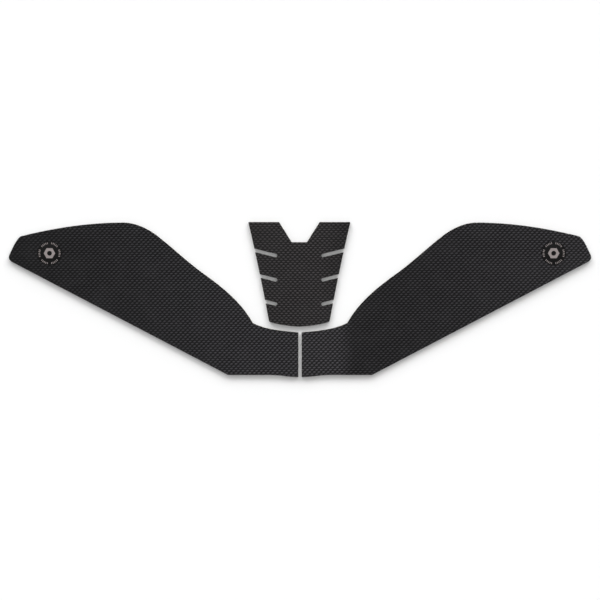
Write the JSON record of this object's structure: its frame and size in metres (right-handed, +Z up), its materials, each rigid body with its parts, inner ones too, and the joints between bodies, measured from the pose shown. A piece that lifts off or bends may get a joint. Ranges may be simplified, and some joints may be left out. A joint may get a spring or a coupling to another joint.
{
  "type": "traction pad set",
  "caption": "Self-adhesive embossed rubber grip pads: mirrored side pads that meet at a seam, and a notched, slotted centre pad, on peel-off release liners.",
  "frame": {"origin": "on the surface that the set lies on, at the middle of its length and height: the seam of the side pads is on X = 0", "axes": "+X along the set's length, to the right-hand pad; +Y across it, to the centre pad's notch; +Z up, out of the grip faces"},
  "size_m": [0.6046, 0.161, 0.004],
  "materials": {
    "grip_rubber": "matt",
    "adhesive": "gloss",
    "liner_paper": "satin",
    "badge_black": "satin",
    "badge_foil": "satin"
  },
  "bodies": {
    "release_liners": {"left_liner_tip_half": "liner_paper", "left_liner_seam_half": "liner_paper", "right_liner_tip_half": "liner_paper", "right_liner_seam_half": "liner_paper", "centre_liner_upper_half": "liner_paper", "centre_liner_lower_half": "liner_paper"},
    "left_pad": {"left_grip_sheet": "grip_rubber", "left_adhesive_film": "adhesive", "left_badge_disc": "badge_black", "left_badge_foil": "badge_foil"},
    "right_pad": {"right_grip_sheet": "grip_rubber", "right_adhesive_film": "adhesive", "right_badge_disc": "badge_black", "right_badge_foil": "badge_foil"},
    "centre_pad": {"centre_grip_sheet": "grip_rubber", "centre_adhesive_film": "adhesive"}
  },
  "joints": [
    {"name": "left_pad_lift", "type": "slide", "parent": "release_liners", "child": "left_pad", "axis": [0, 0, 1], "range_m": [0, 0.08]},
    {"name": "right_pad_lift", "type": "slide", "parent": "release_liners", "child": "right_pad", "axis": [0, 0, 1], "range_m": [0, 0.08]},
    {"name": "centre_pad_lift", "type": "slide", "parent": "release_liners", "child": "centre_pad", "axis": [0, 0, 1], "range_m": [0, 0.08]}
  ]
}
